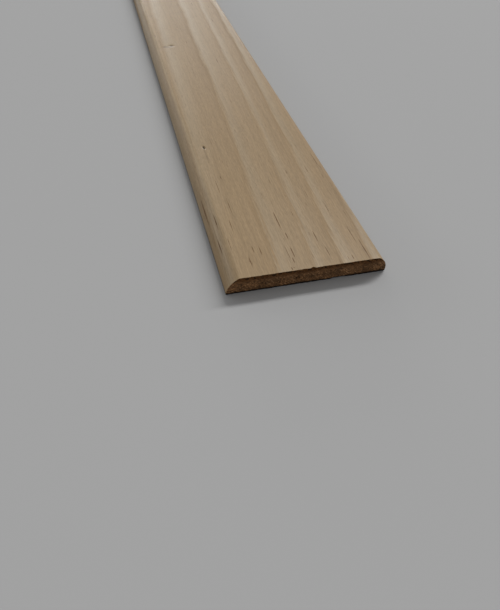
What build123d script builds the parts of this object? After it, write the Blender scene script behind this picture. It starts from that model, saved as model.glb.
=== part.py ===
"""Flat edge strip: one planed length of softwood trim, rounded along both long edges of its face.

Millimetres, +Z up. The strip lies on its flat back, with its face up. X runs across the width and
Y along the length. The origin is the middle of the back.
"""
import os

from build123d import *

# Driving dimensions
strip_width = 50.0      # across the back, from one bottom corner to the other
strip_thickness = 6.0   # from the back up to the flat face
strip_length = 900.0    # from one sawn end to the other
side_height = 0.3       # upright foot that the edge cutter leaves on each long side
edge_inset = 3.5        # how far each rounded edge runs in over the face
crease_radius = 1.5     # sanded bend where a rounded edge meets the flat face


def edge_outline(corner_x, face_x):
    """One long side of the section: its upright foot, then the arc that rolls in to the face."""
    foot = Line((corner_x, 0), (corner_x, side_height))
    rounding = TangentArc(foot @ 1, (face_x, strip_thickness), tangent=foot % 1)
    return [foot, rounding]


def strip_section():
    """The section across the strip, with the back on the axis and the face above it."""
    corner_x = strip_width / 2
    face_x = corner_x - edge_inset
    back = Line((-corner_x, 0), (corner_x, 0))
    face = Line((-face_x, strip_thickness), (face_x, strip_thickness))
    outline = [back, face, *edge_outline(corner_x, face_x), *edge_outline(-corner_x, -face_x)]
    section = make_face(outline)
    creases = section.vertices().group_by(Axis.Y)[-1]
    return fillet(creases, crease_radius)


def edge_strip():
    """The section carried along the length, as far in front of the origin as behind it."""
    end_to_end = Plane.XZ * strip_section()
    return extrude(end_to_end, amount=strip_length / 2, both=True)


os.makedirs("parts", exist_ok=True)
export_step(edge_strip(), "parts/edge_strip.step")
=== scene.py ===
import math

import bmesh
import bpy
from mathutils import Matrix, Vector


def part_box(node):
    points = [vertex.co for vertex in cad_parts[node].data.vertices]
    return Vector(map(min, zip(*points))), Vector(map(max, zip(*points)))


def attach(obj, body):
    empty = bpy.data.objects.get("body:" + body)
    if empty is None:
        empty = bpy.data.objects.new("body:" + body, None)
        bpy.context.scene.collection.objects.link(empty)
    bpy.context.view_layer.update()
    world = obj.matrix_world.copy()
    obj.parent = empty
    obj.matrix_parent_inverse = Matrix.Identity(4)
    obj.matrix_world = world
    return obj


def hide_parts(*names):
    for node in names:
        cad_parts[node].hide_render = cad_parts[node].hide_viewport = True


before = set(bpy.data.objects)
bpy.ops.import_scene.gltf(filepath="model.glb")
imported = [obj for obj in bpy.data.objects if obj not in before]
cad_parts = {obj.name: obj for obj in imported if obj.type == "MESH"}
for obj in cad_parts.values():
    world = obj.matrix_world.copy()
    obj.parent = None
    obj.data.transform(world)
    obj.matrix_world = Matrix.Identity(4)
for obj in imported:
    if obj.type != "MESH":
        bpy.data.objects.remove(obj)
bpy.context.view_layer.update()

# A flat edge strip of bare planed pine, lying face up on a pale floor.
# Sizes are in millimetres and are turned into metres where a mesh, lamp or camera is made.

MM = 0.001
strip_low, strip_high = (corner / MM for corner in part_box("edge_strip"))
WIDTH = strip_high.x - strip_low.x
THICKNESS = strip_high.z - strip_low.z
NEAR_END = strip_low.y
FAR_END = strip_high.y
LENGTH = FAR_END - NEAR_END
HALF_WIDTH = WIDTH / 2

# The section, as on the solid strip, with the edges of its back worn round
SIDE_HEIGHT = 0.3       # upright foot of each long side
EDGE_INSET = 3.5        # how far each rounded edge runs in over the face
CREASE_RADIUS = 1.5     # sanded bend between a rounded edge and the face
BACK_ARRIS = 0.08       # worn edge along each side of the back
EDGE_RISE = THICKNESS - SIDE_HEIGHT
EDGE_RADIUS = (EDGE_INSET ** 2 + EDGE_RISE ** 2) / (2 * EDGE_INSET)
CREASE_TURN = math.asin(1 - EDGE_INSET / EDGE_RADIUS)
CREASE_REACH = CREASE_RADIUS * math.tan(CREASE_TURN / 2)

# How finely the strip is meshed
COLUMNS = 200           # across the width
ROWS = 30               # up the thickness
END_STEP = 1.0          # between the first rings at a sawn end, growing from there
END_GROWTH = 1.45
LONG_STEP = 12.0        # between rings along the plain length
MARK_STEP = 0.3         # between rings where a mark is pressed into the face
ARRIS_STEPS = 3         # round the worn edge of a sawn end
SMOOTH_ANGLE = 50.0     # degrees, past which an edge is shaded sharp

# How vertices and faces are told apart. A normal of 1 points fully along the strip, or straight down.
SAME_HEIGHT = 0.01      # heights that differ by less are the same
NO_LENGTH = 1e-9        # keeps a line that is just a point from dividing by zero
FACE_DEPTH = 1.0        # the face's own vertices lie within this depth of it
END_DEPTH = 0.9 * END_STEP      # and a sawn end's own vertices within this depth of the end
SQUARE_ON = 0.9         # least normal of a sawn end itself
LEANING = 0.5           # least normal of a sawn end with its worn edge, and of the back
END_GRAIN = 1           # the material slot of the sawn ends

# Marks in the face: across, and from the near end
PIN_FROM, PIN_TO = Vector((-17.8, 64.2)), Vector((-17.8, 65.2))
PIN_DEPTH, PIN_REACH = 0.4, 0.45
DENT = Vector((-14.9, 155.2))
DENT_DEPTH, DENT_REACH = 0.14, 1.7
SCRATCH_FROM, SCRATCH_TO = Vector((-20.4, 152.6)), Vector((-16.0, 154.7))
SCRATCH_DEPTH, SCRATCH_REACH = 0.03, 2.1
MARK_MARGIN = 2.0       # finely meshed length before and after a mark

# The sawn ends: how deep each kind of roughness goes, and how wide its lumps are
ARRIS = 0.1             # worn edge round each sawn end
SAW_DEPTH, SAW_LUMPS = 0.1, 2.6
FUZZ_DEPTH, FUZZ_LUMPS = 0.08, 0.45
TORN_DEPTH, TORN_LUMPS = 0.22, 1.3
TORN_HEIGHT = 0.5       # how far in from the back and from the face the wood is torn out
# Chips in the near end: from and to, across and up from the back, then depth and reach
CHIPS = ((Vector((0.1, 6.0)), Vector((0.4, 6.0)), 0.25, 0.4),
         (Vector((-3.9, 2.6)), Vector((-3.9, 2.9)), 0.7, 0.55),
         (Vector((7.8, 0.0)), Vector((11.5, 0.0)), 0.3, 0.5))

# Where each side of the strip lies on its map of baked colours, in shares of the map
MAP_FACE_MIDDLE, MAP_FACE_HALF = 0.28, 0.27
MAP_BACK_START, MAP_BACK_WIDTH = 0.56, 0.3
MAP_END_START, MAP_END_WIDTH = 0.87, 0.06
MAP_END_LENGTH, MAP_FAR_END_START = 0.49, 0.51


def edge_x(height):
    """Half the width of the section at a height above the back."""
    climb = max(height - SIDE_HEIGHT, 0)
    short = max(BACK_ARRIS - height, 0)
    side = HALF_WIDTH - EDGE_RADIUS + math.sqrt(EDGE_RADIUS ** 2 - climb ** 2)
    return side - BACK_ARRIS + math.sqrt(BACK_ARRIS ** 2 - short ** 2)


def crease_drop(x):
    """How far the sanded bend lies below the flat face at a place across the width."""
    beyond = abs(x) - (HALF_WIDTH - EDGE_INSET - CREASE_REACH)
    if beyond <= 0:
        return 0
    return CREASE_RADIUS - math.sqrt(CREASE_RADIUS ** 2 - beyond ** 2)


def ring_places():
    """Where the strip has a ring of edges, from the near end to the far end."""
    places = {0.0, LENGTH}
    step = END_STEP
    place = step
    while step < LONG_STEP:
        places.update({place, LENGTH - place})
        step *= END_GROWTH
        place += step
    long_steps = math.ceil((LENGTH - 2 * place) / LONG_STEP)
    for count in range(long_steps + 1):
        places.add(place + count * (LENGTH - 2 * place) / long_steps)
    for start, stop in ((PIN_FROM.y, PIN_TO.y), (SCRATCH_FROM.y, DENT.y)):
        fine_steps = math.ceil((stop - start + 2 * MARK_MARGIN) / MARK_STEP)
        first = start - MARK_MARGIN
        last = first + fine_steps * MARK_STEP
        places = {place for place in places if not first - MARK_STEP < place < last + MARK_STEP}
        places.update(first + count * MARK_STEP for count in range(fine_steps + 1))
    return sorted(places)


def pick(piece, kind, test):
    """In edit mode, selects just the vertices, edges or faces that pass the test."""
    bpy.ops.mesh.select_mode(type=kind)
    bpy.ops.mesh.select_all(action="DESELECT")
    shape = bmesh.from_edit_mesh(piece.data)
    shape.normal_update()
    for element in {"VERT": shape.verts, "EDGE": shape.edges, "FACE": shape.faces}[kind]:
        if test(element):
            element.select_set(True)
    bmesh.update_edit_mesh(piece.data)


def shape_section(piece):
    """Narrows each row of the upright grid to the section, then eases the two creases."""
    for row in range(ROWS + 1):
        height = row * THICKNESS / ROWS
        pick(piece, "VERT", lambda vertex: abs(vertex.co.z / MM - height) < SAME_HEIGHT)
        share = edge_x(height) / HALF_WIDTH
        bpy.ops.transform.resize(value=(share, 1, 1), center_override=(0, NEAR_END * MM, 0))
    shape = bmesh.from_edit_mesh(piece.data)
    for vertex in shape.verts:
        if vertex.co.z / MM > THICKNESS - SAME_HEIGHT:
            vertex.co.z -= crease_drop(vertex.co.x / MM) * MM
    bmesh.update_edit_mesh(piece.data)


def draw_out(piece):
    """Extrudes the section ring by ring to the far end."""
    places = ring_places()
    bpy.ops.mesh.select_mode(type="FACE")
    bpy.ops.mesh.select_all(action="SELECT")
    for place, following in zip(places, places[1:]):
        move = {"value": (0, (following - place) * MM, 0)}
        bpy.ops.mesh.extrude_region_move(TRANSFORM_OT_translate=move)
    bpy.ops.mesh.select_all(action="SELECT")
    bpy.ops.mesh.normals_make_consistent(inside=False)


def is_end_face(face):
    return abs(face.normal.y) > SQUARE_ON


def is_end_outline(edge):
    return len(edge.link_faces) == 2 and sum(is_end_face(face) for face in edge.link_faces) == 1


def wear_arrises(piece):
    """Breaks the sharp edge round each sawn end."""
    pick(piece, "EDGE", is_end_outline)
    bpy.ops.mesh.bevel(offset=ARRIS * MM, segments=ARRIS_STEPS, affect="EDGES", clamp_overlap=True)


def surface(piece):
    """Planed wood all over, and end grain on the sawn ends."""
    piece.data.materials.append(planed_pine())
    piece.data.materials.append(sawn_pine())
    pick(piece, "FACE", lambda face: abs(face.normal.y) > LEANING)
    piece.active_material_index = END_GRAIN
    bpy.ops.object.material_slot_assign()


def off_line(at, start, stop):
    """How far a point lies from a short line."""
    run = stop - start
    share = min(max((at - start).dot(run) / max(run.length_squared, NO_LENGTH), 0), 1)
    return (at - start - run * share).length


def press(piece, marked, push, reach):
    """Pushes the marked vertices in, and the wood beside them with them."""
    pick(piece, "VERT", marked)
    bpy.ops.transform.translate(
        value=push * MM, use_proportional_edit=True, use_proportional_connected=True,
        proportional_edit_falloff="SMOOTH", proportional_size=reach * MM)


def press_face(piece, start, stop, depth, reach):
    def marked(vertex):
        at = Vector((vertex.co.x / MM, vertex.co.y / MM - NEAR_END))
        return vertex.co.z / MM > THICKNESS - FACE_DEPTH and off_line(at, start, stop) < MARK_STEP

    press(piece, marked, Vector((0, 0, -depth)), reach)


def chip_end(piece, start, stop, depth, reach):
    def marked(vertex):
        at = Vector((vertex.co.x / MM, vertex.co.z / MM))
        return vertex.co.y / MM < NEAR_END + END_DEPTH and off_line(at, start, stop) < MARK_STEP

    press(piece, marked, Vector((0, depth, 0)), reach)


def roughen(piece, group, lumps, depth):
    """Moves a vertex group unevenly along the strip, by up to depth."""
    grain = bpy.data.textures.new(group, "CLOUDS")
    grain.noise_scale = lumps * MM
    grain.noise_depth = 2
    move = piece.modifiers.new("roughen", "DISPLACE")
    move.texture = grain
    move.texture_coords = "LOCAL"
    move.direction = "Y"
    move.vertex_group = group
    move.mid_level = 0
    move.strength = depth * MM
    bpy.ops.object.modifier_apply(modifier="roughen")


def saw_ends(piece):
    """Roughens both ends, each one inwards, most of all along the back and the face."""
    for name, end, inward in (("near", NEAR_END, 1), ("far", FAR_END, -1)):
        cut, torn = name + "_cut", name + "_torn"
        piece.vertex_groups.new(name=cut)
        piece.vertex_groups.new(name=torn)
        for vertex in piece.data.vertices:
            if abs(vertex.co.y / MM - end) < END_DEPTH:
                piece.vertex_groups[cut].add([vertex.index], 1.0, "REPLACE")
                height = vertex.co.z / MM
                share = max(1 - min(height, THICKNESS - height) / TORN_HEIGHT, 0)
                piece.vertex_groups[torn].add([vertex.index], share, "REPLACE")
        roughen(piece, cut, SAW_LUMPS, inward * SAW_DEPTH)
        roughen(piece, cut, FUZZ_LUMPS, inward * FUZZ_DEPTH)
        roughen(piece, torn, TORN_LUMPS, inward * TORN_DEPTH)
    piece.vertex_groups.clear()


def lay_map(piece):
    """Unrolls the strip for its baked colours: face and edges, back, then both ends at a larger scale."""
    spread = piece.data.uv_layers.new(name="OFBake").data
    for face in piece.data.polygons:
        for corner in face.loop_indices:
            at = piece.data.vertices[piece.data.loops[corner].vertex_index].co / MM
            across = at.x / WIDTH + 0.5
            along = (at.y - NEAR_END) / LENGTH
            if face.material_index == END_GRAIN:
                start = 0.0 if along < 0.5 else MAP_FAR_END_START
                u = MAP_END_START + at.z / THICKNESS * MAP_END_WIDTH
                v = start + across * MAP_END_LENGTH
            elif face.normal.z < -LEANING:
                u = MAP_BACK_START + across * MAP_BACK_WIDTH
                v = along
            else:
                unrolled = at.x + math.copysign(THICKNESS - at.z, at.x)
                u = MAP_FACE_MIDDLE + unrolled / (HALF_WIDTH + THICKNESS) * MAP_FACE_HALF
                v = along
            spread[corner].uv = (u, v)


def model_strip():
    """The whole strip as one closed mesh."""
    bpy.ops.object.select_all(action="DESELECT")
    bpy.ops.mesh.primitive_grid_add(
        x_subdivisions=COLUMNS, y_subdivisions=ROWS, size=1, calc_uvs=False,
        location=(0, NEAR_END * MM, THICKNESS / 2 * MM), rotation=(math.pi / 2, 0, 0))
    strip = bpy.context.object
    strip.name = "strip"
    strip.scale = (WIDTH * MM, THICKNESS * MM, 1)
    bpy.ops.object.transform_apply(location=True, rotation=True, scale=True)
    bpy.ops.object.mode_set(mode="EDIT")
    shape_section(strip)
    draw_out(strip)
    wear_arrises(strip)
    surface(strip)
    press_face(strip, PIN_FROM, PIN_TO, PIN_DEPTH, PIN_REACH)
    press_face(strip, DENT, DENT, DENT_DEPTH, DENT_REACH)
    press_face(strip, SCRATCH_FROM, SCRATCH_TO, SCRATCH_DEPTH, SCRATCH_REACH)
    for start, stop, depth, reach in CHIPS:
        chip_end(strip, start, stop, depth, reach)
    bpy.ops.object.mode_set(mode="OBJECT")
    saw_ends(strip)
    bpy.ops.object.shade_smooth_by_angle(angle=math.radians(SMOOTH_ANGLE))
    lay_map(strip)
    return strip


class Wire:
    """A value in a material. Arithmetic on it adds Math nodes."""

    def __init__(self, tree, socket=None):
        self.tree = tree
        self.socket = socket

    def node(self, kind, settings=None, sockets=None, output=0):
        """Adds a node, sets it up, feeds its sockets and returns one of its outputs."""
        made = self.tree.nodes.new(kind)
        for name, setting in (settings or {}).items():
            if name == "stops":
                set_stops(made.color_ramp, setting)
            else:
                setattr(made, name, setting)
        for name, fed in (sockets or {}).items():
            if isinstance(fed, Wire):
                self.tree.links.new(fed.socket, made.inputs[name])
            else:
                made.inputs[name].default_value = fed
        return Wire(self.tree, made.outputs[output])

    def output(self, name):
        """Another output of the node that this value comes from."""
        return Wire(self.tree, self.socket.node.outputs[name])

    def math(self, operation, *values):
        return self.node("ShaderNodeMath", {"operation": operation}, dict(enumerate(values)))

    def __add__(self, other):
        return self.math("ADD", self, other)

    def __radd__(self, other):
        return self.math("ADD", other, self)

    def __sub__(self, other):
        return self.math("SUBTRACT", self, other)

    def __rsub__(self, other):
        return self.math("SUBTRACT", other, self)

    def __mul__(self, other):
        return self.math("MULTIPLY", self, other)

    def __rmul__(self, other):
        return self.math("MULTIPLY", other, self)

    def __truediv__(self, other):
        return self.math("DIVIDE", self, other)

    def __rtruediv__(self, other):
        return self.math("DIVIDE", other, self)

    def __pow__(self, other):
        return self.math("POWER", self, other)

    def __rpow__(self, other):
        return self.math("POWER", other, self)


# The sockets of a Mix node that take and give colours
MIX_SHARE, MIX_FIRST, MIX_SECOND, MIX_RESULT = 0, 6, 7, 2


def set_stops(ramp, stops):
    """Gives a colour ramp these stops, each a place and a colour or a grey level."""
    while len(ramp.elements) > 1:
        ramp.elements.remove(ramp.elements[-1])
    for count, (place, colour) in enumerate(stops):
        stop = ramp.elements[0] if count == 0 else ramp.elements.new(place)
        stop.position = place
        stop.color = colour if isinstance(colour, tuple) else (colour, colour, colour, 1)


def screen(*levels):
    """Red, green and blue as they show on a screen, out of 255, as the linear colour that a shader takes."""
    shares = [level / 255 for level in levels]
    linear = [share / 12.92 if share <= 0.04045 else ((share + 0.055) / 1.055) ** 2.4 for share in shares]
    return (*linear, 1)


def blend(wire, share, first, second):
    """Mixes two colours."""
    return wire.node(
        "ShaderNodeMix", {"data_type": "RGBA", "clamp_factor": True},
        {MIX_SHARE: share, MIX_FIRST: first, MIX_SECOND: second}, MIX_RESULT)


def shade(wire, colour, light):
    """Makes a colour lighter or darker."""
    return wire.node("ShaderNodeVectorMath", {"operation": "SCALE"}, {0: colour, "Scale": light})


def fade(value, low, high, start=0.0, stop=1.0):
    """Goes smoothly from start to stop as a value goes from low to high."""
    return value.node(
        "ShaderNodeMapRange", {"interpolation_type": "SMOOTHSTEP"},
        {"Value": value, "From Min": low, "From Max": high, "To Min": start, "To Max": stop})


def stretched(place, size):
    """Places counted in cells of this size, in millimetres across, along and up."""
    return place.node(
        "ShaderNodeVectorMath", {"operation": "MULTIPLY"},
        {0: place, 1: tuple(1 / side for side in size)})


def speckle(place, size, detail=2.0, roughness=0.5):
    """A soft random value around 0, at most half up or down, with spots of about this size."""
    cloud = place.node(
        "ShaderNodeTexNoise", {}, {"Vector": stretched(place, size), "Scale": 1.0, "Detail": detail,
                                   "Roughness": roughness})
    return cloud - 0.5


# The values of the wood. Spots are the size of an unevenness across, along and up. A fade is four numbers:
# from where to where it goes, then what it starts and ends with.

# The tree that the strip was cut from. Growth rings run round the pith, which lies below the strip and to
# its left, and drift to the right along the strip.
PITH_X, PITH_Z = -70.0, -25.0
DRIFT, DRIFT_LENGTH = 11.0, 115.0
# Where each ring ends on the face at the near end, and how dark its late wood is
RINGS = ((-47.0, 0.7), (-37.5, 0.7), (-27.5, 0.5), (-10.5, 0.65), (1.0, 0.55), (9.5, 0.75),
         (19.0, 0.7), (28.0, 0.7))
FIRST_RING, PAST_RINGS = 8.0, 2.0       # the first ring's width, and what is counted past the last one
# How a ring darkens from its start to its end
RING_SHAPE = ((0.12, 0.0), (0.42, 0.6), (0.86, 0.85), (0.96, 1.15))
# What moves a ring out of its round, and by how many millimetres, with fades along the strip
SMOOTH = 1.0            # noise detail of the softest unevennesses
WANDER_SPOTS, WANDER_FADE = (60, 170, 60), (100, 400, 0.8, 9.0)
RIPPLE_SPOTS, RIPPLE = (5, 38, 5), 1.5
WAVE_SPOTS, WAVE_FADE = (7, 14, 7), (100, 190, 0.3, 2.2)
FRAY_SPOTS, FRAY_FADE = (0.6, 26, 0.6), (30, 150, 4.2, 1.6)
# The tone between early and late wood, and how far the rings differ from it along the strip
MIDDLE_TONE = 0.35
CONTRAST_FADE = (40, 170, 0.74, 1.25)

PALE_WOOD = screen(151, 133, 107)
TAN_WOOD = screen(143, 121, 91)
LATE_WOOD = screen(126, 102, 70)
CANAL_BROWN = screen(84, 52, 14)
# Dirt in the marks, and the painted shade in the dent
MARK_DIRT_AND_SHADE = screen(62, 52, 42)
END_WOOD = screen(113, 82, 54)
TORN_BROWN = screen(87, 52, 19)
# Pale fibres of the end grain, their grey tone a painted glint
PALE_FIBRE_GLINT = screen(150, 130, 104)
# Very dark: soil in the canals and nibbled fibres of the ends, and dirt with a painted contact shade along
# the back of the ends and the foot of the sides
SOIL_AND_SHADE = screen(20, 12, 6)

# The planed wood: the spots of each unevenness, and how much lighter or darker it makes the wood
CLOUD_SPOTS, CLOUD = (9, 70, 9), 0.35
BROAD_SPOTS, BROAD = (0.9, 48, 0.9), 0.28
FIBRE_SPOTS, FIBRE = (0.33, 6, 0.33), 0.42
FLECK_SPOTS, FLECK = (0.3, 1.8, 0.3), 0.42
SAWN_EDGE_HIGHLIGHT_FADE = (0.4, 1.2, 1.08, 1.0)  # painted highlight on the face just beside a sawn end, along its worn edge
# A painted highlight along the crease on the left, away from the near end, where the rounding turns up to
# the light: the middle and half the width of the band, how much paler its tone and how much more light, and
# where along the strip it begins
CREASE_HIGHLIGHT_X, CREASE_HIGHLIGHT_REACH = 2.9 - HALF_WIDTH, 0.9
CREASE_HIGHLIGHT_TONE, CREASE_HIGHLIGHT_LIGHT = 0.4, 0.2
CREASE_HIGHLIGHT_FROM, CREASE_HIGHLIGHT_TO = 15, 60
# The finish of the planed wood: how rough it is, more so in late wood, and the relief of its grain
ROUGHNESS, LATE_ROUGHNESS, FIBRE_ROUGHNESS = 0.38, 0.12, 0.12
GRAIN_SPOTS = (0.3, 9, 0.3)
GRAIN_HEIGHT, CANAL_HEIGHT = 0.6, 0.5

# Resin canals, and the finer dashes between them: the cells that they lie in, how many of the cells have
# none, and how much of its cell the thickest one fills
CANAL_CELL, CANAL_RARITY, CANAL_SIZE = (1.3, 24, 1.3), 0.3, 0.14
DASH_CELL, DASH_RARITY, DASH_SIZE = (0.6, 7, 0.6), 0.1, 0.24
DASH_STRENGTH = 0.5
FAINTEST = 0.35         # strength of the faintest ones
THREAD_FADE = (0.5, 1.0, 1.0, 0.0)      # from the middle of one to its edge
NO_SIZE = 0.0001        # keeps an empty cell from dividing by zero
CANAL_COVER, END_CANAL_COVER = 0.85, 0.8        # how much of the wood's colour they hide
# Opened resin canals that show on the face: place across, from where to where along the strip, and half
# the width
STREAKS = ((-3.7, 18.0, 24.5, 0.19), (-24.2, 28.0, 37.0, 0.18), (-22.4, 22.0, 28.0, 0.15),
           (-16.7, 27.0, 34.0, 0.1), (-18.1, 38.0, 43.5, 0.08), (-23.4, 12.0, 17.5, 0.16),
           (-15.9, 45.0, 47.0, 0.13), (-3.6, 5.5, 9.5, 0.18), (-4.4, 3.2, 5.2, 0.19),
           (-5.1, 5.0, 10.0, 0.09), (-3.0, 13.0, 15.5, 0.19), (-16.7, 4.0, 7.5, 0.14),
           (-12.7, 8.5, 11.0, 0.18), (-14.7, 9.5, 11.5, 0.13), (-18.4, 19.5, 24.0, 0.1),
           (5.6, 10.5, 14.5, 0.17), (6.9, 4.0, 7.5, 0.13), (7.6, 45.0, 47.0, 0.1),
           (14.4, 21.5, 27.5, 0.08), (15.4, 44.5, 48.0, 0.09), (17.2, 9.0, 15.5, 0.1),
           (18.4, 1.0, 8.0, 0.2), (20.5, 48.0, 55.0, 0.14), (-5.9, 0.5, 1.6, 0.17),
           (-5.2, 1.1, 1.6, 0.12), (13.5, 1.3, 2.9, 0.15), (12.0, 1.3, 2.7, 0.08),
           (-20.8, 11.5, 16.5, 0.09))
STREAK_TAPER = 1.35     # how much further each one runs, thinning out
STREAK_BREAK_SPOTS = (0.5, 1.8, 0.5)
STREAK_FADE = (0.45, 1.15, 1.0, 0.0)    # from its middle to its edge

# Dark marks: dirt, with painted shade in the dent and a painted contact shade along the foot. A spot in the
# face is three numbers: its reach across and along, and how much of the wood it hides.
SPOT_DEPTH = 1.0       # how far down from the face it goes
SPOT_FROM, SPOT_TO = 0.1, 1.1         # where it fades, from its middle to its edge
PIN_DARK_REACH = (0.36, 1.0, SPOT_DEPTH)
PIN_DARK_FADE = (0.5, 1.15, 0.9, 0.0)
PIN_RUN, PIN_RUN_OFFSET = (0.5, 5.5, 0.2), Vector((-0.1, -4.5))        # towards the near end
DENT_DIRT_AND_SHADE = (1.2, 1.9, 0.6)
SMEAR_STAIN = (3.0, 1.4, 0.4)
FOOT_DIRT_AND_SHADE_FADE = (0.25, 1.15, 0.9, 0.0)         # dirt and painted contact shade, up from the back, along both long sides
FOOT_DIRT_AND_SHADE_START, FOOT_DIRT_AND_SHADE_FULL = HALF_WIDTH - 1.2, HALF_WIDTH - 0.5    # across

# The end grain: the spots of each unevenness, and how it lightens or darkens the wood
PORE_SPOTS, PORE_FADE = (0.6, 2, 0.6), (-0.15, 0.15, 0.5, 1.6)
BLOTCH_SPOTS, BLOTCH_FADE = (3.2, 2, 1.8), (-0.2, 0.2, 0.68, 1.32)
SCORE_SPOTS, SCORE_FADE = (0.35, 2, 3.0), (-0.2, 0.2, 0.7, 1.3)
PIT_SPOTS, PIT_FADE = (0.75, 2, 0.6), (0.12, 0.2, 1.0, 0.45)
NIBBLE_SPOTS, NIBBLE_FADE = (1.1, 2, 0.75), (0.15, 0.22, 0.0, 0.75)
PORE_DETAIL, PORE_ROUGHNESS = 3.0, 0.65
NIBBLE_DETAIL, NIBBLE_ROUGHNESS = 2.0, 0.6
SAW_SLANT = 0.8         # radians that the scores of the saw lean
EARLY_LIGHT, LATE_SHADE = 1.3, 0.5      # light of early wood, and how much less late wood has
GLINTING_FIBRE_FADE = (0.08, 0.3, 0.0, 0.5)   # pale fibres that stand out along the scores, greyed by a painted glint
GLINTING_FIBRE_PORES = 0.5    # how much the pores break them up
# What depends on the height above the back, with how much the pores and blotches fray its edge
TORN_FADE, TORN_FRAY = (THICKNESS - 2.2, THICKNESS - 0.7, 0.0, 0.75), 3.0
NIBBLED_FADE = (THICKNESS - 1.8, THICKNESS - 0.2, 0.0, 0.17)
# Dark along the back of each end: dirt and a painted contact shade
SOIL_AND_SHADE_FADE, SOIL_AND_SHADE_FRAY = (0.45, 1.05, 1.0, 0.0), 0.6


def place_in_strip(wire):
    """Where a point of the strip lies, in millimetres: across, from the near end, up from the back."""
    coordinates = wire.node("ShaderNodeTexCoord", output="Object")
    scaled = wire.node(
        "ShaderNodeVectorMath", {"operation": "SCALE"}, {0: coordinates, "Scale": 1 / MM})
    return wire.node(
        "ShaderNodeVectorMath", {"operation": "SUBTRACT"}, {0: scaled, 1: (0, NEAR_END, 0)})


def from_pith(x):
    """How far a place on the face at the near end lies from the pith."""
    return math.hypot(x - PITH_X, THICKNESS - PITH_Z)


def ring_tone(place):
    """From 0 in pale early wood to 1 in the darkest late wood."""
    apart = place.node("ShaderNodeSeparateXYZ", sockets={0: place})
    across, along, up = apart, apart.output("Y"), apart.output("Z")
    drift = DRIFT - DRIFT * math.e ** (along / -DRIFT_LENGTH)
    wander = speckle(place, WANDER_SPOTS, SMOOTH) * fade(along, *WANDER_FADE)
    ripple = speckle(place, RIPPLE_SPOTS) * RIPPLE
    waves = speckle(place, WAVE_SPOTS, SMOOTH) * fade(along, *WAVE_FADE)
    frayed = speckle(place, FRAY_SPOTS) * fade(along, *FRAY_FADE)
    sideways = across - drift - wander - PITH_X
    upwards = up - PITH_Z
    radius = (sideways * sideways + upwards * upwards) ** 0.5 + ripple + waves + frayed
    innermost = from_pith(RINGS[0][0]) - FIRST_RING
    outermost = from_pith(RINGS[-1][0]) + PAST_RINGS
    stops = []
    start = innermost
    for x, lateness in RINGS:
        end = from_pith(x)
        for share, tone in RING_SHAPE:
            counted = (start + share * (end - start) - innermost) / (outermost - innermost)
            stops.append((counted, tone * lateness))
        start = end
    counted = (radius - innermost) / (outermost - innermost)
    return place.node("ShaderNodeValToRGB", {"stops": stops}, {"Fac": counted})


def threads(place, cell, rarity, thickest):
    """Short dark threads along the grain, one in some of the cells: up to 1 inside one, 0 elsewhere."""
    cells = place.node(
        "ShaderNodeTexVoronoi", {"feature": "F1"},
        {"Vector": stretched(place, cell), "Scale": 1.0, "Randomness": 1.0}, "Distance")
    chance = place.node("ShaderNodeSeparateColor", sockets={0: cells.output("Color")})
    size = fade(chance, rarity, 1.0, 0.0, thickest)
    strength = fade(chance.output("Green"), 0.0, 1.0, FAINTEST, 1.0)
    return fade(cells / (size + NO_SIZE), *THREAD_FADE) * strength


def canals(place):
    """Resin canals, and the finer and fainter dashes between them."""
    wide = threads(place, CANAL_CELL, CANAL_RARITY, CANAL_SIZE)
    fine = threads(place, DASH_CELL, DASH_RARITY, DASH_SIZE) * DASH_STRENGTH
    return wide.math("MAXIMUM", wide, fine)


def face_height(x):
    """How high the strip's top surface lies above the back at a place across the width."""
    beyond = max(abs(x) - HALF_WIDTH + EDGE_RADIUS, 0)
    return min(SIDE_HEIGHT + math.sqrt(EDGE_RADIUS ** 2 - beyond ** 2), THICKNESS)


def spot(place, middle, reach):
    """How far a place lies from the middle of a spot: 1 at the edge of the spot, less inside it."""
    apart = place.node("ShaderNodeVectorMath", {"operation": "SUBTRACT"}, {0: place, 1: middle})
    shares = place.node("ShaderNodeVectorMath", {"operation": "DIVIDE"}, {0: apart, 1: reach})
    return place.node("ShaderNodeVectorMath", {"operation": "LENGTH"}, {0: shares}, "Value")


def streaks(place):
    """The opened canals of the list: 1 inside one, 0 elsewhere."""
    nearest = None
    for x, start, stop, half_width in STREAKS:
        middle = (x, (start + stop) / 2, face_height(x))
        reach = (half_width, (stop - start) * STREAK_TAPER / 2, half_width * 2)
        reached = spot(place, middle, reach)
        nearest = reached if nearest is None else nearest.math("MINIMUM", nearest, reached)
    return fade(nearest + speckle(place, STREAK_BREAK_SPOTS), *STREAK_FADE)


def dark_spot(place, at, across, along, strength):
    """A soft dark spot on the face, for stains and for the painted shade in the dent."""
    reached = spot(place, (at.x, at.y, THICKNESS), (across, along, SPOT_DEPTH))
    return fade(reached, SPOT_FROM, SPOT_TO, strength, 0.0)


def dirt_and_shade_in_marks(place):
    """Darker wood in the pin mark and the run below it, painted shade with dirt in the dent, and dirt
    smeared by the scratch.
    """
    hole = (PIN_FROM + PIN_TO) / 2
    pin = fade(spot(place, (hole.x, hole.y, THICKNESS), PIN_DARK_REACH), *PIN_DARK_FADE)
    run = dark_spot(place, hole + PIN_RUN_OFFSET, *PIN_RUN)
    deep = dark_spot(place, DENT, *DENT_DIRT_AND_SHADE)
    smear = dark_spot(place, (SCRATCH_FROM + DENT) / 2, *SMEAR_STAIN)
    pressed = pin.math("MAXIMUM", deep, smear)
    return pin.math("MAXIMUM", pin.math("MAXIMUM", pin, run), pressed)


def foot_dirt_and_shade(place):
    """Dirt and a painted contact shade along the foot of both long sides."""
    apart = place.node("ShaderNodeSeparateXYZ", sockets={0: place})
    sideways = apart.math("ABSOLUTE", apart)
    low = fade(apart.output("Z"), *FOOT_DIRT_AND_SHADE_FADE)
    return low * fade(sideways, FOOT_DIRT_AND_SHADE_START, FOOT_DIRT_AND_SHADE_FULL)


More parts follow.
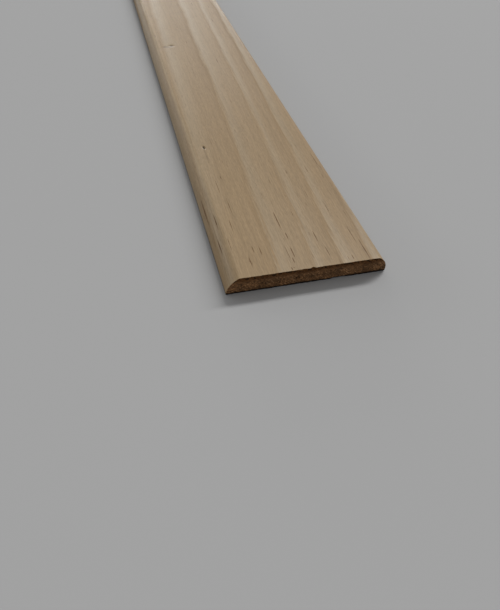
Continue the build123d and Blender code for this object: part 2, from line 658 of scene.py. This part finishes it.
def wood_colour(place):
    """Colour of the planed wood, before canals and marks."""
    across = place.node("ShaderNodeSeparateXYZ", sockets={0: place})
    along = across.output("Y")
    rings = (ring_tone(place) - MIDDLE_TONE) * fade(along, *CONTRAST_FADE) + MIDDLE_TONE
    # Paler and lighter along the left crease: a painted highlight on the upper rounding
    off_crease = across.math("ABSOLUTE", across - CREASE_HIGHLIGHT_X)
    crease_highlight = fade(off_crease, 0.0, CREASE_HIGHLIGHT_REACH, 1.0, 0.0) * fade(along, CREASE_HIGHLIGHT_FROM, CREASE_HIGHLIGHT_TO)
    tone = rings + speckle(place, CLOUD_SPOTS) * CLOUD - crease_highlight * CREASE_HIGHLIGHT_TONE
    bands = place.node(
        "ShaderNodeValToRGB", {"stops": ((0.0, PALE_WOOD), (0.5, TAN_WOOD), (1.0, LATE_WOOD))},
        {"Fac": tone})
    broad = speckle(place, BROAD_SPOTS) * BROAD
    fibres = speckle(place, FIBRE_SPOTS) * FIBRE
    flecks = speckle(place, FLECK_SPOTS) * FLECK
    # Lighter just beside each sawn end: a painted highlight along its worn edge
    from_end = along.math("MINIMUM", along, LENGTH - along)
    light = (1.0 + broad + fibres + flecks) * (1.0 + crease_highlight * CREASE_HIGHLIGHT_LIGHT)
    return shade(place, bands, light * fade(from_end, *SAWN_EDGE_HIGHLIGHT_FADE))


def new_material(name):
    """A material with just its shader, ready to be fed."""
    made = bpy.data.materials.new(name)
    made.use_nodes = True
    return made, Wire(made.node_tree), made.node_tree.nodes["Principled BSDF"]


def feed(shader, name, value):
    shader.id_data.links.new(value.socket, shader.inputs[name])


def planed_pine():
    """The face, back and long edges."""
    made, wire, shader = new_material("planed_pine")
    place = place_in_strip(wire)
    dark = canals(place)
    dark = dark.math("MAXIMUM", dark, streaks(place))
    colour = blend(wire, dark * CANAL_COVER, wood_colour(place), CANAL_BROWN)
    # Darkened in the marks: painted shade with dirt in the dent
    colour = blend(wire, dirt_and_shade_in_marks(place), colour, MARK_DIRT_AND_SHADE)
    # Dirt and a painted contact shade along the foot of both long sides
    feed(shader, "Base Color", blend(wire, foot_dirt_and_shade(place), colour, SOIL_AND_SHADE))
    grain = speckle(place, GRAIN_SPOTS)
    feed(shader, "Roughness", ROUGHNESS + ring_tone(place) * LATE_ROUGHNESS + grain * FIBRE_ROUGHNESS)
    shader.inputs["Specular IOR Level"].default_value = 0.1
    shader.inputs["Sheen Weight"].default_value = 0.1
    shader.inputs["Sheen Roughness"].default_value = 0.3
    height = grain * GRAIN_HEIGHT - dark * CANAL_HEIGHT
    feed(shader, "Normal", wire.node(
        "ShaderNodeBump", {}, {"Strength": 0.25, "Distance": 0.08 * MM, "Height": height}))
    return made


def sawn_pine():
    """End grain, torn by the saw, and darkened along the back with dirt and a painted contact shade."""
    made, wire, shader = new_material("sawn_pine")
    place = place_in_strip(wire)
    up = wire.node("ShaderNodeSeparateXYZ", sockets={0: place}).output("Z")
    pores = speckle(place, PORE_SPOTS, PORE_DETAIL, PORE_ROUGHNESS)
    blotches = speckle(place, BLOTCH_SPOTS)
    slanted = wire.node(
        "ShaderNodeVectorRotate", {"rotation_type": "Y_AXIS"}, {"Vector": place, "Angle": SAW_SLANT})
    scores = speckle(slanted, SCORE_SPOTS)
    pits = speckle(place, PIT_SPOTS, SMOOTH)
    nibbles = speckle(place, NIBBLE_SPOTS, NIBBLE_DETAIL, NIBBLE_ROUGHNESS)
    light = fade(pores, *PORE_FADE) * fade(blotches, *BLOTCH_FADE) * fade(pits, *PIT_FADE)
    light = light * fade(scores, *SCORE_FADE) * (EARLY_LIGHT - ring_tone(place) * LATE_SHADE)
    # Pale fibres along the scores, their grey tone a painted glint
    glinting_fibres = fade(scores + pores * GLINTING_FIBRE_PORES, *GLINTING_FIBRE_FADE)
    torn = fade(up + pores * TORN_FRAY, *TORN_FADE)
    nibbled = fade(nibbles + fade(up, *NIBBLED_FADE), *NIBBLE_FADE)
    # Darkest along the back: dirt and a painted contact shade where the end meets the floor
    soil_and_shade = fade(up + blotches * SOIL_AND_SHADE_FRAY, *SOIL_AND_SHADE_FADE)
    colour = shade(wire, END_WOOD[:3], light)
    colour = blend(wire, glinting_fibres, colour, PALE_FIBRE_GLINT)
    colour = blend(wire, torn, colour, TORN_BROWN)
    colour = blend(wire, nibbled, colour, SOIL_AND_SHADE)
    colour = blend(wire, soil_and_shade, colour, SOIL_AND_SHADE)
    feed(shader, "Base Color", blend(wire, canals(place) * END_CANAL_COVER, colour, SOIL_AND_SHADE))
    shader.inputs["Roughness"].default_value = 0.9
    shader.inputs["Specular IOR Level"].default_value = 0.15
    feed(shader, "Normal", wire.node(
        "ShaderNodeBump", {}, {"Strength": 0.6, "Distance": 0.2 * MM, "Height": pores}))
    return made


# The floor and the lamps
FLOOR_SIZE = 6000.0
FLOOR_GREY = (0.38, 0.38, 0.38, 1)
BACKGROUND_GREY = (0.3, 0.3, 0.305, 1)
# Light from all round: least from the front and from below, most from above and behind
ROUND_LIGHT_FADE = (-0.6, 1.2, 0.26, 0.48)
# Soft oblong lamps: name, place from the near end, facing, width, height and power in watts
LAMPS = (
    # A long panel overhead, behind the near end and to its right, that faces the floor
    ("key", Vector((10000, 5840, 8000)), Vector((0, 0, -1)), 13600.0, 1840.0, 2240.0),
    # A long low box behind the far end, for the sheen along the face
    ("back_box", Vector((1200, 9200, 960)), Vector((-0.1, -1, -0.1)), 5200.0, 880.0, 180.0),
    # Another low box behind and to the left, for the left rounding
    ("side_box", Vector((-7600, 6000, 1800)), Vector((0.78, -0.6, -0.18)), 10400.0, 1200.0, 234.0))

# The camera, with its turns in degrees and its focal length counted in pixels of the picture
CAMERA_FROM_NEAR_END = Vector((-46.83, -72.95, 90.4))
CAMERA_YAW, CAMERA_PITCH, CAMERA_ROLL = 21.985, 50.815, 8.094
FOCAL_PIXELS, LONG_SIDE_PIXELS = 423.0, 610.0
SENSOR = 36.0
NEAREST_SEEN = 5.0


def lay_floor():
    bpy.ops.object.select_all(action="DESELECT")
    bpy.ops.mesh.primitive_plane_add(size=FLOOR_SIZE * MM)
    floor = bpy.context.object
    floor.name = "floor"
    made, _, shader = new_material("pale_floor")
    shader.inputs["Base Color"].default_value = FLOOR_GREY
    shader.inputs["Specular IOR Level"].default_value = 0.0
    floor.data.materials.append(made)


def hang_lamp(name, place, facing, width, height, power):
    """A soft oblong lamp, hung at a place measured from the near end, that isn't seen itself."""
    lamp = bpy.data.lights.new(name, "AREA")
    lamp.shape = "RECTANGLE"
    lamp.size = width * MM
    lamp.size_y = height * MM
    lamp.energy = power
    hung = bpy.data.objects.new(name, lamp)
    hung.location = (Vector((0, NEAR_END, 0)) + place) * MM
    hung.rotation_euler = facing.to_track_quat("-Z", "Y").to_euler()
    hung.visible_camera = False
    bpy.context.scene.collection.objects.link(hung)


def light_room():
    """Soft light from all round, with an even background where the camera looks past the floor."""
    world = bpy.data.worlds.new("room")
    bpy.context.scene.world = world
    world.use_nodes = True
    wire = Wire(world.node_tree)
    towards = wire.node("ShaderNodeTexCoord", output="Generated")
    apart = wire.node("ShaderNodeSeparateXYZ", sockets={0: towards})
    level = fade(apart.output("Y") + apart.output("Z"), *ROUND_LIGHT_FADE)
    seen = wire.node("ShaderNodeLightPath", output="Is Camera Ray")
    feed(world.node_tree.nodes["Background"], "Color", blend(wire, seen, level, BACKGROUND_GREY))


def place_camera():
    camera = bpy.data.cameras.new("camera")
    camera.sensor_width = SENSOR
    camera.lens = FOCAL_PIXELS / LONG_SIDE_PIXELS * SENSOR
    camera.clip_start = NEAREST_SEEN * MM
    held = bpy.data.objects.new("camera", camera)
    yaw, pitch, roll = (math.radians(turn) for turn in (CAMERA_YAW, CAMERA_PITCH, CAMERA_ROLL))
    turned = (Matrix.Rotation(-yaw, 4, "Z") @ Matrix.Rotation(math.pi / 2 - pitch, 4, "X")
              @ Matrix.Rotation(roll, 4, "Z"))
    stand = (Vector((0, NEAR_END, 0)) + CAMERA_FROM_NEAR_END) * MM
    held.matrix_world = Matrix.Translation(stand) @ turned
    bpy.context.scene.collection.objects.link(held)
    bpy.context.scene.camera = held


strip = model_strip()
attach(strip, "root")
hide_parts("edge_strip")

lay_floor()
for lamp in LAMPS:
    hang_lamp(*lamp)
light_room()
place_camera()
bpy.context.scene.view_settings.view_transform = "Standard"
